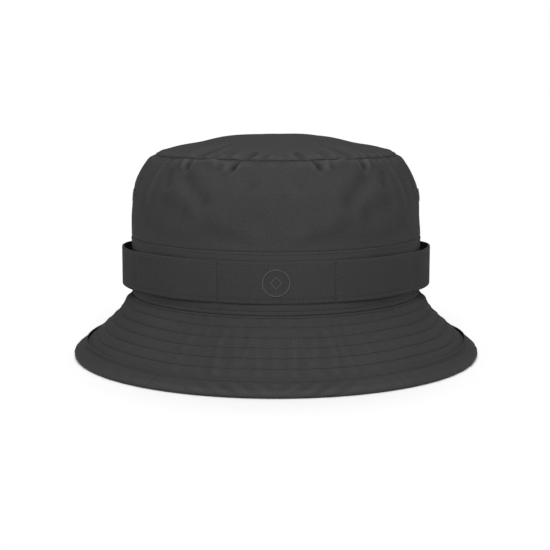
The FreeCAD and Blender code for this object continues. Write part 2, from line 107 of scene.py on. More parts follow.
# The crown's seams as heights in millimetres; its shoulders as a bulge, places and a spread in
# degrees; and the middle of the sphere that the tip is a part of.
WAIST, TIP_EDGE = 77.5, 128.5
SHOULDER, SHOULDER_PLACES, SHOULDER_SPREAD = 2.8 * MM, (31, 149), 15
TIP_CENTRE = 120.0 * MM
EYELET_ANGLES = (-100.0, -80.0, 80.0, 100.0)
EYELET_HEIGHT = 104.0

# The brim's thread rows and where the binding's edge lies on it, in millimetres down the cloth
# from the crown; where it starts and stops bending when it lifts; and where its sides flare.
SEAM_ROW = 1.1
BRIM_ROWS = (7.0, 14.1, 21.3, 28.6, 36.0)
BINDING_EDGE = 43.2
FLARE, FLARE_PLACE = 2.1 * MM, 6

# How far each thread row lies in from the cloth's edge, and how high the embroidery stands.
TIP_ROW, WAIST_ROW, BASE_ROW = 1.2 * MM, 1.5 * MM, 3.1 * MM
BAND_ROW = 1.9 * MM
BINDING_ROWS = (2.4 * MM, 2.5 * MM)
TAPE_ROWS = (2.6 * MM, 30 * MM)
EMBLEM_RISE = 0.45 * MM

# Millimetres of cloth for one degree round the crown, and each half with the degrees it starts at.
DEGREE_ARC = 1.68
HALVES = (("front", -90.0), ("back", 90.0))

# ---------------------------------------------------------------- numbers and lines


def smooth(value):
    """0 below 0, 1 above 1 and an easy rise between."""
    value = np.clip(value, 0.0, 1.0)
    return value * value * (3 - 2 * value)


def wrapped(angle):
    """An angle between minus and plus half a turn."""
    return (angle + math.pi) % (2 * math.pi) - math.pi


def bell(value):
    """1 at 0, falling off softly on both sides."""
    return np.exp(-value * value)


def bells(value, places, spread):
    """Soft bumps at some places, each 1 high."""
    return sum(bell((value - place) / spread) for place in places)


def degrees_aside(angle):
    """How many degrees an angle is from the front, to either side."""
    return np.degrees(np.abs(wrapped(angle)))


def fine_line(points):
    """A smooth line through points in millimetres: its length so far, and both coordinates."""
    corners = np.array(points, float) * MM
    ends = np.vstack([2 * corners[0] - corners[1], corners, 2 * corners[-1] - corners[-2]])
    share = np.linspace(0, 1, 40, endpoint=False)[:, None]
    spans = []
    for a, b, c, d in zip(ends, ends[1:], ends[2:], ends[3:]):
        cubic = (3 * b - a - 3 * c + d) * share + (2 * a - 5 * b + 4 * c - d)
        spans.append(b + 0.5 * share * ((c - a) + share * cubic))
    line = np.vstack([*spans, corners[-1:]])
    steps = np.linalg.norm(np.diff(line, axis=0), axis=1)
    return np.concatenate([[0.0], np.cumsum(steps)]), line[:, 0], line[:, 1]


CROWN_TABLE = fine_line(CROWN_LINE)
BRIM_TABLE = fine_line(BRIM_LINE)
BINDING_TABLE = fine_line(BINDING_LINE)
CROWN_UP = CROWN_TABLE[0][-1]
BRIM_UP = BRIM_TABLE[0][-1]
BINDING_UP = BINDING_TABLE[0][-1]
BINDING_RIM = BINDING_TABLE[0][np.argmax(BINDING_TABLE[1])]


def crown_up(height):
    """How far up the crown's cloth a height in millimetres is."""
    return float(np.interp(height * MM, CROWN_TABLE[2], CROWN_TABLE[0]))


def oval(angle, half_width, height):
    """A point of a level oval."""
    across = half_width * np.sin(angle)
    along = -(half_width + OVAL_EXTRA) * np.cos(angle)
    return np.stack(np.broadcast_arrays(across, along, height), -1)


def ripples(seed, around, upward, size, count=9):
    """A soft uneven height in (angle, distance up), whole round the oval and the same every run.

    Each wave has a number of turns from around, and up to upward radians a millimetre up."""
    rng = np.random.default_rng(seed)
    turns = rng.integers(around[0], around[1], count)
    rises = rng.uniform(-upward, upward, count)
    phases = rng.uniform(0, 2 * math.pi, count)

    def height(angle, up):
        total = 0.0
        for turn, rise, phase in zip(turns, rises, phases):
            total = total + np.sin(turn * angle + rise * up / MM + phase)
        return size * total / math.sqrt(count)

    return height


def fold(angle, up, start, end, width, depth, lee=0.0):
    """A soft fold along a line from start to end, each (degrees, millimetres up).

    A positive depth sinks it. lee raises the side to its right and lowers the other."""
    x = np.degrees(angle) * DEGREE_ARC
    y = up / MM
    run_x, run_y = (end[0] - start[0]) * DEGREE_ARC, end[1] - start[1]
    length = math.hypot(run_x, run_y)
    from_x, from_y = x - start[0] * DEGREE_ARC, y - start[1]
    along = (from_x * run_x + from_y * run_y) / length**2
    across = (from_x * run_y - from_y * run_x) / length / width
    window = smooth(1.7 * (1 - np.abs(2 * along - 1)))
    return window * bell(across) * (lee * across - depth) * MM


# ---------------------------------------------------------------- surfaces


def lifted(base, angle, up, out):
    """The points of a base surface, moved out along its normal."""
    angle, up, out = np.broadcast_arrays(angle, up, out)
    turn, rise = 1e-3, 0.2 * MM
    around = base(angle + turn, up) - base(angle - turn, up)
    upward = base(angle, up + rise) - base(angle, up - rise)
    normal = np.cross(around, upward)
    normal /= np.linalg.norm(normal, axis=-1, keepdims=True)
    return base(angle, up) + normal * out[..., None]


def off_table(table, up):
    """Both coordinates of a fine line, going straight on past its ends."""
    length, *lines = table
    inside = np.clip(up, 0, length[-1])
    over = up - inside
    values = []
    for line in lines:
        low = (line[1] - line[0]) / (length[1] - length[0])
        high = (line[-1] - line[-2]) / (length[-1] - length[-2])
        values.append(np.interp(inside, length, line) + over * np.where(over < 0, low, high))
    return values


def turned(table, side=1):
    """A smooth surface round the hat, whose section is a fine line of (reach, height)."""

    def base(angle, up):
        reach, height = off_table(table, up)
        return oval(angle, HALF_WIDTH + side * reach, height)

    return base


crown_base = turned(CROWN_TABLE, -1)
brim_base = turned(BRIM_TABLE)
binding_base = turned(BINDING_TABLE)


def tip_base(angle, up):
    """The tip with no folds, a part of a sphere: up is 0 at its seam, TIP_WIDTH at its middle."""
    ratio = np.clip(1 - up / TIP_WIDTH, 0, 1.02)
    radius = TIP_SEAM + TIP_RISE - TIP_CENTRE
    spread = math.sqrt(1 - ((TIP_SEAM - TIP_CENTRE) / radius) ** 2)
    height = TIP_CENTRE + radius * np.sqrt(1 - (ratio * spread) ** 2)
    across = TIP_WIDTH * ratio * np.sin(angle)
    along = -(TIP_WIDTH + OVAL_EXTRA) * ratio * np.cos(angle)
    return np.stack(np.broadcast_arrays(across, along, height), -1)


def stand_off(angle):
    """How far the hatband stands off the crown."""
    around = degrees_aside(angle)
    total = np.zeros_like(around)
    for start, end in zip(TACKS, TACKS[1:]):
        sag = LOOP_SAG if start < 90 < end else SHORT_SAG
        inside = (around > start) & (around < end)
        total += np.where(inside, sag * np.sin(math.pi * (around - start) / (end - start)) ** 2, 0)
    return total


def band_base(angle, up):
    """The hatband's inner face; up is 0 at its lower edge. Its side loops hang a little lower."""
    standing = stand_off(angle)
    droop = DROOP * bells(degrees_aside(angle), DROOP_PLACES, DROOP_SPREAD)
    height = BAND_LOW + up - 0.15 * standing - droop
    return oval(angle, HALF_WIDTH + 0.15 * MM + standing, height)


# ---------------------------------------------------------------- folds and puckers

CROWN_RIPPLE = ripples(3, (2, 9), 0.07, 0.55 * MM)
CROWN_FINE = ripples(5, (14, 40), 0.16, 0.07 * MM)
TIP_RIPPLE = ripples(7, (2, 7), 0.05, 0.35 * MM)
PUCKER = ripples(11, (26, 70), 0.02, 0.22 * MM)
BRIM_RIPPLE = ripples(13, (3, 9), 0.03, 0.45 * MM)
BRIM_FINE = ripples(17, (45, 95), 0.03, 0.16 * MM)
BINDING_RIPPLE = ripples(19, (30, 90), 0.25, 0.12 * MM)
BAND_RIPPLE = ripples(23, (5, 30), 0.06, 0.12 * MM)
LINING_RIPPLE = ripples(29, (8, 36), 0.09, 0.14 * MM)

# Folds of the crown's wall on both sides of the front: (degrees, height) at each end, then the
# width, the depth and the lee in millimetres.
WALL_FOLDS = (
    ((40, 124), (22, 101), 6.5, 2.2, 1.0),
    ((52, 106), (29, 98), 7.5, 1.7, 0.6),
    ((38, 103), (5, 79), 9.0, 0.7, 0.6),
    ((55, 127), (59, 97), 4.2, -1.1, 0.5),
    ((49, 124), (45, 110), 4.5, 1.0, 0.0),
    ((14, 127), (6, 112), 7.0, 0.5, 0.3),
    ((36.3, 132), (38.0, 121), 1.4, 2.2, 1.4),
    ((15.0, 132), (17.8, 121.5), 1.3, 1.6, 1.1),
    ((52, 131), (54, 124), 1.2, 0.8, 0.5),
    ((63, 131), (62, 124), 1.3, 0.9, -0.5),
    ((62, 92), (44, 80), 9.0, 0.8, 0.5),
    ((26, 96), (2, 80), 7.0, -0.9, 0.5),
    ((31, 130), (22, 124.5), 3.2, -1.0, 0.0),
    ((40.8, 130), (40.6, 121.5), 2.2, -1.3, 0.0),
    ((21.5, 129), (19.6, 121.0), 2.6, -1.2, 0.0),
    ((75, 128), (70, 96), 6.0, 0.8, 0.4),
    ((100, 128), (116, 98), 6.5, 1.2, 0.4),
    ((140, 128), (158, 100), 7.0, 1.3, -0.4),
    ((128, 131), (124, 121), 1.4, 1.3, 0.8),
    ((150, 131), (153, 122), 1.3, 1.1, -0.8),
    ((171, 131), (168, 121), 1.3, 1.2, 0.7),
    ((108, 131), (106, 123), 1.3, 0.9, 0.5),
)

# The same on the tip, where the second number is the distance in from the seam.
TIP_FOLDS = (
    ((38.5, -4), (33, 34), 4.2, 1.5, 0.5),
    ((46, 0), (42, 26), 4.0, -0.8, 0.0),
    ((29, 2), (27, 22), 3.4, -0.6, 0.0),
    ((13.5, -3), (10, 15), 3.4, 1.3, 0.4),
    ((4.6, 1.5), (4.0, 8), 1.6, 0.8, 0.0),
    ((20, -2), (17, 14), 3.0, -0.7, 0.0),
    ((55, -3), (57, 12), 2.2, 0.9, -0.4),
    ((66, -3), (64, 10), 2.0, 0.9, 0.4),
    ((90, -3), (88, 16), 3.0, 0.9, 0.3),
    ((127, -3), (121, 24), 3.6, 1.3, 0.4),
    ((151, -3), (156, 20), 3.2, 1.1, -0.4),
    ((171, -3), (169, 14), 2.6, 1.0, 0.4),
)


def swell(distance, height, width):
    """A soft rise along a line at a distance in metres; height and width in millimetres."""
    return height * MM * bell(distance / (width * MM))


def seam_dip(distance, depth, width=1.0):
    """The cloth turns in at a seam."""
    return -swell(distance, depth, width)


def risen(distance, reach, least=0.0):
    """From its least at a seam up to 1 at a reach in millimetres from it."""
    return least + (1 - least) * smooth(distance / (reach * MM))


# In millimetres: the cloth is flat this far from an eyelet's middle, and free of it that much
# further out.
EYELET_FLAT, EYELET_EASE = 5.0, 9.0
WAIST_UP = crown_up(WAIST)


def eyelet_calm(angle, up):
    """0 at each eyelet and 1 away from them: the cloth is flat where an eyelet is set."""
    calm = 1.0
    for place in EYELET_ANGLES:
        x = wrapped(angle - math.radians(place)) * HALF_WIDTH
        away = np.hypot(x, up - crown_up(EYELET_HEIGHT)) / MM
        calm = calm * smooth((away - EYELET_FLAT) / EYELET_EASE)
    return calm


def wall_height(angle, up):
    """The folds of the crown's side above the waist seam."""
    side = np.abs(wrapped(angle))
    total = CROWN_RIPPLE(angle, up) + CROWN_FINE(angle, up)
    for start, end, width, depth, lee in WALL_FOLDS:
        places = [(place[0], crown_up(min(place[1], TIP_EDGE)) / MM) for place in (start, end)]
        if start[1] > TIP_EDGE:
            places[0] = (places[0][0], places[0][1] + 1.2 * (start[1] - TIP_EDGE))
        total = total + fold(side, up, *places, width, depth, lee)
    shoulders = bells(np.degrees(side), SHOULDER_PLACES, SHOULDER_SPREAD)
    total = total + SHOULDER * shoulders * risen(up - WAIST_UP, 22)
    down = CROWN_UP - up
    total = total + PUCKER(angle, up) * 1.6 * bell(down / (5.5 * MM))
    eyelets = eyelet_calm(angle, up)
    total = total * risen(down, 3, 0.2) * risen(up - WAIST_UP, 12) * (0.35 + 0.65 * eyelets)
    puff = swell(down - 4 * MM, 0.5, 3)
    return total * eyelets + puff + seam_dip(down, 0.1) + seam_dip(up - WAIST_UP, 0.15, 0.8)


def base_height(angle, up):
    """The base band: turned in at its seams and drawn down along its thread rows."""
    rows = seam_dip(up - crown_up(76.0), 0.16, 0.6) + seam_dip(up - crown_up(42.6), 0.2, 0.6)
    ends = seam_dip(WAIST_UP - up, 0.2, 0.5) + seam_dip(up, 0.15, 0.6)
    return rows + ends + 0.3 * CROWN_FINE(angle, up)


def tip_height(angle, up):
    """The folds of the tip. They die out towards its middle, where all angles meet."""
    side = np.abs(wrapped(angle))
    total = TIP_RIPPLE(angle, up)
    for start, end, width, depth, lee in TIP_FOLDS:
        total = total + fold(side, up, start, end, width, depth, lee)
    total = total + PUCKER(angle, up) * 1.5 * bell(up / (6 * MM))
    total = total * risen(up, 3, 0.2) * risen(TIP_WIDTH - up, 45)
    sag = swell(up - TIP_WIDTH, 0.5, 30) + swell(up - 27 * MM, 1.5, 13) * np.sin(side) ** 2
    seam = seam_dip(up, 0.1, 0.8) + seam_dip(up - TIP_ROW, 0.25, 0.7)
    return total - sag + seam + swell(up - 4 * MM, 0.45, 2.5)


def channel(down, puff):
    """The quilting of the brim at a distance down from the crown's seam, in millimetres."""
    edges = (SEAM_ROW, *BRIM_ROWS, BINDING_EDGE + 2.3)
    total = np.zeros_like(down)
    for start, end in zip(edges, edges[1:]):
        share = np.clip((down - start) / (end - start), 0, 1)
        total = total + np.where((down > start) & (down < end), np.sin(math.pi * share) ** 0.85, 0)
    return puff * total * smooth((BINDING_EDGE + 0.5 - down) / 3)


# Ridges that run down the front of the brim: degrees from the middle, width, height.
FRONT_RIDGES = (
    (0.0, 1.6, 0.6),
    (5.7, 1.4, 0.75),
    (9.0, 1.0, 0.45),
    (12.3, 1.5, 0.7),
    (17.5, 1.4, 0.85),
    (21.5, 1.3, 0.5),
    (29.0, 1.8, 0.4),
)


def ridges(angle, down):
    """The wrinkles down the brim's front and, weaker, down its back."""
    side = degrees_aside(angle)
    total = 0.0
    for place, width, height in FRONT_RIDGES:
        sway = place + 0.7 * np.sin(down / 7.0 + place)
        total = total + height * bell((side - sway) / width)
        total = total + 0.7 * height * bell((180 - side - 1.3 * sway - 4) / width)
    window = smooth((down - 4) / 12) * smooth((BINDING_EDGE + 4 - down) / 8)
    return total * window * MM


def brim_wave(angle, up):
    """What all the brim's layers share: broad waves, and a flare below the seam at the sides."""
    down = (BRIM_UP - up) / MM
    window = smooth((down - 1) / 10) * smooth(up / (8 * MM))
    flare = bell((down - FLARE_PLACE) / FLARE_PLACE) * smooth((down - 0.3) / 5)
    return BRIM_RIPPLE(angle, up) * window + FLARE * np.sin(angle) ** 4 * flare


def brim_height(angle, up):
    """The brim's upper cloth: quilted channels, ridges, and a dip at its seam."""
    down = (BRIM_UP - up) / MM
    total = channel(down, 0.13 * MM) + ridges(angle, down) * (0.75 + 0.2 * channel(down, 1.0))
    total = total + brim_wave(angle, up) + 0.6 * BRIM_FINE(angle, up) * channel(down, 1.0)
    return total + seam_dip(BRIM_UP - up, 0.15, 0.6)


# Where the bias strips of the binding are joined, in degrees from the front.
JOIN_PLACE = 33.5


def binding_height(angle, up):
    """The binding: drawn down along its thread rows, dragged on the bias, its top lip lifted."""
    from_lip = (BINDING_UP - up) / MM
    side = degrees_aside(angle)
    slant = side * DEGREE_ARC * 1.35 + from_lip
    drag = 0.42 * np.sin(slant * 0.45 + 1.3 * np.sin(np.radians(side) * 6)) * bell((side - 10) / 13)
    drag = drag * smooth((from_lip - 3) / 3) * smooth((20 - from_lip) / 6)
    row = -0.35 * bell((from_lip - 2.5) / 0.9) - 0.3 * bell((up / MM - 2.5) / 0.9)
    plump = 0.35 * bell((from_lip - 7.5) / 4.0)
    lift = 0.9 * np.sin(angle) ** 2 * bell(from_lip / 1.6)
    join = (side - JOIN_PLACE) * DEGREE_ARC - 0.3 * (from_lip - 8)
    seam = -0.5 * bell(join / 0.8) * smooth((from_lip - 2) / 2)
    rough = BINDING_RIPPLE(angle, up) * smooth((from_lip - 3) / 3)
    rough = rough + brim_wave(angle, np.abs(up - BINDING_RIM)) * np.sign(up - BINDING_RIM)
    flat = smooth((binding_base(angle, up)[..., 2] / MM - 0.6) / 1.5)
    return (drag + row + plump + lift + seam) * MM * flat + rough * flat


def band_height(angle, up):
    """The hatband: two folded edges, a groove at each thread row and a pinch at each tack."""
    width = BAND_HIGH - BAND_LOW
    from_edge = np.minimum(up, width - up) / MM
    row = -0.22 * bell((from_edge - BAND_ROW / MM) / 0.55)
    edge = -0.5 * np.clip(1 - from_edge / 0.5, 0, 1) ** 2
    around = degrees_aside(angle)
    tacks = (TACKS[0] + PINCH_IN, *TACKS[1:3], TACKS[3] - PINCH_IN)
    pinch = -0.4 * bells(around, tacks, 0.6)
    hollow = -0.6 * bell((from_edge - 10) / 9) * bell((around - 67) / 2.2)
    tuck = -0.45 * bell(up / (3.5 * MM)) * bell(np.minimum(around, 180 - around) / 40)
    return (row + edge + pinch + hollow + tuck) * MM + BAND_RIPPLE(angle, up)


def folded(base, height, thickness=0.0):
    """A surface as it is, folds and all: its base moved out by a thickness and by its height."""

    def face(angle, up, out=0.0):
        return lifted(base, angle, up, thickness + height(angle, up) + out)

    return face


crown_wall = folded(crown_base, wall_height)
base_wall = folded(crown_base, base_height)
tip_cloth = folded(tip_base, tip_height)
brim_cloth = folded(brim_base, brim_height)
brim_inside = folded(brim_base, brim_wave)
binding_face = folded(binding_base, binding_height)
band_face = folded(band_base, band_height, BAND_CLOTH)


def stiffener_face(angle, up, out=0.0):
    """The stiffener's upper face."""
    return brim_inside(angle, up, out - CLOTH - PLY_GAP)


def brim_under(angle, up, out=0.0):
    """The under cloth's upper face. It is quilted by the same rows, downwards."""
    down = (BRIM_UP - up) / MM
    layers = CLOTH + STIFFENER + 2 * PLY_GAP
    return brim_inside(angle, up, out - layers - channel(down, 0.35 * MM))


def lining_wall(angle, up, out=0.0):
    """The lining's outer face: it follows the crown and is a little slack."""
    slack = (LINING_RIPPLE(angle, up) - 0.35 * MM) * risen(up - crown_up(74), 8)
    slack = slack * eyelet_calm(angle, up)
    folds = wall_height(angle, up) * risen(up - crown_up(79), 6)
    return lifted(crown_base, angle, up, folds + slack - CLOTH - PLY_GAP + out)


# How far in from the crown's face the sweatband lies, behind cloth and lining.
TAPE_DEPTH = 1.6 * MM


def tape_face(angle, up, out=0.0):
    """The sweatband's outer face, against the lining."""
    near_top = smooth((up / MM - 18) / 14)
    calm = 1 - 0.9 * bell(wrapped(angle - math.pi) / 0.5)
    lean = 0.5 * MM * near_top * calm * (1 + np.sin(5 * angle + 1.0))
    return lifted(crown_base, angle, up, out - lean - TAPE_DEPTH)


# ---------------------------------------------------------------- meshes


def new_piece(name, material, vertices, corners, sizes, uvs, relief=None):
    """A smooth-shaded mesh: its points, the corners of all faces in a row, each face's number
    of corners, each corner's place on the weave map in metres, and each point's relief."""
    mesh = bpy.data.meshes.new(name)
    mesh.vertices.add(len(vertices))
    mesh.vertices.foreach_set("co", np.ascontiguousarray(vertices, np.float32).ravel())
    mesh.loops.add(len(corners))
    mesh.loops.foreach_set("vertex_index", corners.astype(np.int32))
    mesh.polygons.add(len(sizes))
    starts = np.concatenate([[0], np.cumsum(sizes)[:-1]]).astype(np.int32)
    mesh.polygons.foreach_set("loop_start", starts)
    mesh.update(calc_edges=True)
    layer = mesh.uv_layers.new(name="weave")
    layer.uv.foreach_set("vector", np.ascontiguousarray(uvs, np.float32).ravel())
    if relief is not None:
        height = mesh.attributes.new("relief", "FLOAT", "POINT")
        height.data.foreach_set("value", np.ascontiguousarray(relief, np.float32))
    mesh.validate()
    mesh.shade_smooth()
    mesh.set_sharp_from_angle(angle=math.radians(50))
    mesh.materials.append(material)
    piece = bpy.data.objects.new(name, mesh)
    bpy.context.scene.collection.objects.link(piece)
    return piece


def unit(vectors):
    """Vectors of length one."""
    return vectors / np.maximum(np.linalg.norm(vectors, axis=-1, keepdims=True), 1e-12)


def between(outer, inner, weave, closed=False, kept=None):
    """The faces of a closed solid between two grids: both sides, and a wall at each open edge."""
    rows, columns = outer.shape[:2]
    cells = columns if closed else columns - 1
    kept = np.ones((rows - 1, cells), bool) if kept is None else kept
    row, column = np.nonzero(kept)
    following = (column + 1) % columns
    ids = np.arange(rows * columns).reshape(rows, columns)
    corner = [ids[row, column], ids[row, following], ids[row + 1, following], ids[row + 1, column]]
    spots = [(row, column), (row, column + 1), (row + 1, column + 1), (row + 1, column)]
    places = [weave[spot] for spot in spots]
    second = rows * columns
    faces = [np.stack(corner, -1), np.stack([c + second for c in corner[::-1]], -1)]
    uvs = [np.stack(places, 1), np.stack(places[::-1], 1)]

    padded = np.zeros((rows + 1, cells + 2), bool)
    padded[1:-1, 1:-1] = kept
    if closed:
        padded[1:-1, 0], padded[1:-1, -1] = kept[:, -1], kept[:, 0]
    for first, last, down, right in ((0, 1, -1, 0), (1, 2, 0, 1), (2, 3, 1, 0), (3, 0, 0, -1)):
        open_edge = ~padded[row + 1 + down, column + 1 + right]
        a, b = corner[first][open_edge], corner[last][open_edge]
        faces.append(np.stack([b, a, a + second, b + second], -1))
        near, far = places[first][open_edge], places[last][open_edge]
        uvs.append(np.stack([far, near, near, far], 1))
    vertices = np.concatenate([outer.reshape(-1, 3), inner.reshape(-1, 3)])
    return vertices, np.concatenate(faces), np.concatenate(uvs)


def tidied(vertices, faces, uvs, relief=None):
    """Drops the points that no face uses, and lays faces and weave map out in a row."""
    used, corners = np.unique(faces, return_inverse=True)
    relief = None if relief is None else relief[used]
    sizes = np.full(len(faces), 4)
    return vertices[used], corners.ravel(), sizes, uvs.reshape(-1, 2), relief


def relief_of(points, closed, reach=3.0 * MM):
    """How far each point stands above the points a short reach away, in millimetres."""
    rows, columns = points.shape[:2]
    row, column = rows // 2, columns // 2
    row_gap = np.linalg.norm(points[row, column] - points[row - 1, column])
    column_gap = np.linalg.norm(points[row, column] - points[row, column - 1])
    total = np.zeros((rows, columns))
    along, up = np.gradient(points, axis=1), np.gradient(points, axis=0)
    normal = unit(np.cross(along, up))
    for axis, gap in ((0, row_gap), (1, column_gap)):
        mode = "wrap" if axis == 1 and closed else "clip"
        for step in (1, -1):
            place = np.arange(points.shape[axis]) + step * max(1, round(reach / gap))
            other = np.take(points, place, axis, mode=mode)
            total += ((points - other) * normal).sum(-1) / MM / 4
    return np.clip(total, -1, 1)


def weave_map(points, ups, closed, turn):
    """A flat map of a grid in metres: along the middle row's length, and up the cloth."""
    middle = points[len(points) // 2]
    if closed:
        middle = np.vstack([middle, middle[:1]])
    run = np.concatenate([[0], np.cumsum(np.linalg.norm(np.diff(middle, axis=0), axis=1))])
    across, along = np.meshgrid(run - run.mean(), ups)
    cosine, sine = math.cos(turn), math.sin(turn)
    return np.stack([across * cosine - along * sine, across * sine + along * cosine], -1)


RIM = np.array([0.15, 0.4, 0.7]) * MM


def up_steps(low, high, step):
    """Distances up a cloth a step apart, with closer ones by each edge."""
    middle = np.linspace(low, high, max(3, round((high - low) / step) + 1))
    return np.unique(np.concatenate([middle, low + RIM, high - RIM]).round(6))


def turns(start, end, step):
    """Angles between two, all in degrees, with closer ones by each end."""
    middle = np.linspace(start, end, round((end - start) / step) + 1)
    close = RIM / MM / DEGREE_ARC
    return np.radians(np.unique(np.concatenate([middle, start + close, end - close])))


def round_turns(step):
    """Angles all round the hat, from the middle of the back."""
    return np.linspace(-math.pi, math.pi, round(360 / step), endpoint=False)


def rounding(ups, thickness):
    """How far the cloth's face rounds down towards its lower and upper edge."""
    away = np.minimum(ups - ups[0], ups[-1] - ups)
    return -0.3 * thickness * np.clip(1 - away / RIM[-1], 0, 1) ** 2


def sided_relief(outside, inside, closed):
    """The relief of a cloth's outer grid, and none for the inner one."""
    return np.concatenate([relief_of(outside, closed).ravel(), np.zeros(inside[..., 0].size)])


def cloth_piece(name, face, angles, ups, thickness, material, closed=False, turn=0.0, kept=None):
    """A piece of cloth of some thickness behind its face."""
    angle, up = np.meshgrid(angles, ups)
    edge = rounding(ups, thickness)[:, None]
    outside = face(angle, up, edge)
    inside = face(angle, up, -thickness - edge)
    weave = weave_map(outside, ups, closed, turn)
    relief = sided_relief(outside, inside, closed)
    solid = between(outside, inside, weave, closed, kept)
    return new_piece(name, material, *tidied(*solid, relief))


def stands_for(nodes):
    """Hides the CAD nodes that a piece stands for."""
    if nodes:
        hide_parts(*nodes)


def finished(piece, body, slot, *nodes):
    """A piece that rides on one body."""
    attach(piece, body)
    stands_for(nodes)


def bent(piece, half, slot, *nodes):
    """A half of the brim, its place baked into its mesh."""
    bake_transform(piece)
    stands_for(nodes)


# ---------------------------------------------------------------- thread

# A stitch as rings along its length: where they are, how high and how thick they are in radii, and
# their relief, which paints shade on its ends where they dip into the cloth.
STITCH_SIDES = 5
STITCH_LENGTH = np.array([0.0, 0.14, 0.24, 0.76, 0.86, 1.0])
STITCH_RISE = np.array([-0.6, -0.1, 0.5, 0.5, -0.1, -0.6])
STITCH_GIRTH = np.array([0.8, 1.0, 1.0, 1.0, 1.0, 0.8])
STITCH_SHADE = np.array([-1.0, -1.0, 0.0, 0.0, -1.0, -1.0])


def stitches(paths, name, material, pitch=2.2 * MM, length=2.1 * MM, radius=0.21 * MM):
    """Single stitches along paths, each a fine run of points with the cloth's normals there."""
    centres, across, normals = [], [], []
    for points, outward in paths:
        run = np.concatenate([[0], np.cumsum(np.linalg.norm(np.diff(points, axis=0), axis=1))])
        count = max(1, int(run[-1] / pitch))
        starts = (np.arange(count) + 0.5) * run[-1] / count - length / 2
        places = starts[:, None] + STITCH_LENGTH * length
        line = np.stack([np.interp(places, run, points[:, i]) for i in range(3)], -1)
        facing = unit(np.stack([np.interp(places, run, outward[:, i]) for i in range(3)], -1))
        along = unit(np.broadcast_to((line[:, -1] - line[:, 0])[:, None], line.shape))
        centres.append(line + facing * (STITCH_RISE * radius)[:, None])
        across.append(np.cross(facing, along))
        normals.append(facing)
    centres, across, normals = (np.concatenate(part) for part in (centres, across, normals))
    turn = np.linspace(0, 2 * math.pi, STITCH_SIDES, endpoint=False)[:, None]
    ring = across[:, :, None] * np.cos(turn) + normals[:, :, None] * np.sin(turn)
    vertices = centres[:, :, None] + ring * radius * STITCH_GIRTH[:, None, None]
    count, rings = centres.shape[:2]
    ids = np.arange(count * rings * STITCH_SIDES).reshape(count, rings, STITCH_SIDES)
    turned = np.roll(ids, -1, 2)
    sides = np.stack([ids[:, :-1], turned[:, :-1], turned[:, 1:], ids[:, 1:]], -1)
    caps = np.concatenate([ids[:, 0, ::-1], ids[:, -1]])
    corners = np.concatenate([sides.ravel(), caps.ravel()])
    sizes = np.concatenate([np.full(sides.size // 4, 4), np.full(len(caps), STITCH_SIDES)])
    uvs = np.zeros((len(corners), 2))
    shade = np.broadcast_to(STITCH_SHADE[:, None], ids.shape).ravel()
    return new_piece(name, material, vertices.reshape(-1, 3), corners, sizes, uvs, shade)


def path_on(surface, angles, ups, out):
    """A path on a surface with the cloth's normals there."""
    points = surface(angles, ups, out)
    return points, unit(surface(angles, ups, out + 0.5 * MM) - points)


def ring_path(surface, up, start=-180.0, end=180.0, out=0.0):
    """A path round the hat at one distance up a surface."""
    angles = np.radians(np.linspace(start, end, max(24, int(abs(end - start) * 1.6))))
    return path_on(surface, angles, np.full_like(angles, up), out)


def rise_path(surface, degrees, low, high, out=0.0):
    """A path up a surface at one angle."""
    ups = np.linspace(low, high, 24)
    return path_on(surface, np.full_like(ups, math.radians(degrees)), ups, out)


def flipped(path):
    """The same path for stitches on the other side of the cloth."""
    points, normals = path
    return points, -normals


# ---------------------------------------------------------------- materials


class Nodes:
    """A short way to write a node tree."""

    def __init__(self, tree):
        self.tree = tree

    def node(self, kind, inputs=None, **settings):
        """A node with some settings, and inputs given by number or name."""
        node = self.tree.nodes.new(kind)
        for key, value in settings.items():
            setattr(node, key, value)
        for key, value in (inputs or {}).items():
            if isinstance(value, bpy.types.NodeSocket):
                self.tree.links.new(value, node.inputs[key])
            else:
                node.inputs[key].default_value = value
        return node

    def math(self, operation, first, second=0.0, third=0.0):
        """The result of a sum on one, two or three values."""
        inputs = {0: first, 1: second, 2: third}
        return self.node("ShaderNodeMath", inputs, operation=operation).outputs[0]

    def ramp(self, value, low, high, start=0.0, end=1.0):
        """A value eased from one range to another."""
        inputs = {"Value": value, "From Min": low, "From Max": high, "To Min": start, "To Max": end}
        node = self.node("ShaderNodeMapRange", inputs, interpolation_type="SMOOTHSTEP")
        return node.outputs["Result"]

    def noise(self, scale, detail=2.0):
        """Cloudy values about a half, in the object's own space."""
        place = self.node("ShaderNodeTexCoord").outputs["Object"]
        inputs = {"Vector": place, "Scale": scale, "Detail": detail, "Roughness": 0.55}
        return self.node("ShaderNodeTexNoise", inputs).outputs["Fac"]

    def varied(self, value, noise, amount):
        """A value with some noise on it."""
        return self.math("MULTIPLY_ADD", self.math("SUBTRACT", noise, 0.5), amount, value)

    def tinted(self, colour, value):
        """A colour made lighter or darker by a value about one."""
        node = self.node("ShaderNodeVectorMath", {0: colour, "Scale": value}, operation="SCALE")
        return node.outputs[0]


